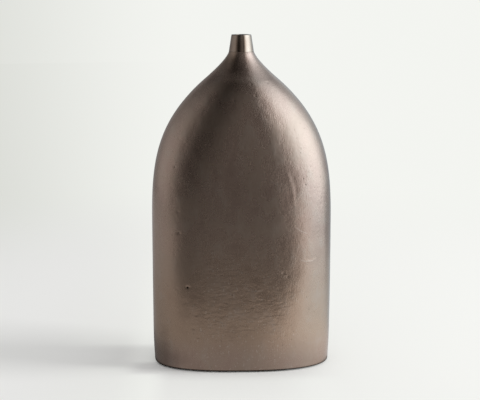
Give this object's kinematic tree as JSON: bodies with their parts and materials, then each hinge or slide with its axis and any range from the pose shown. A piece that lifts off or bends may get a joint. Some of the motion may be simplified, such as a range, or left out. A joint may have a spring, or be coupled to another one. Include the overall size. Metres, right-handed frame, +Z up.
{
  "type": "vase",
  "caption": "Flat bottle vase with an oval foot, straight sides, ogee shoulders and a slim tapered spout, hollow cast in aluminium with a brown bronze finish.",
  "frame": {"origin": "on the standing surface, under the middle of the foot", "axes": "+Z up, +X along the vase's width, -Y the front"},
  "size_m": [0.235, 0.118, 0.432],
  "materials": {
    "body_bronze": "brown bronze finish on a fine sand casting, brushed to a satin sheen",
    "neck_bronze": "brown bronze finish, turned and polished",
    "base_casting": "dark bronze finish on a raw casting, matt",
    "felt": "pressed wool felt"
  },
  "bodies": {
    "root": {"front_shell": "body_bronze", "rear_shell": "body_bronze", "neck_spout": "neck_bronze", "base_plate": "base_casting", "felt_pad_front_left": "felt", "felt_pad_front_right": "felt", "felt_pad_rear_left": "felt", "felt_pad_rear_right": "felt"}
  },
  "joints": []
}
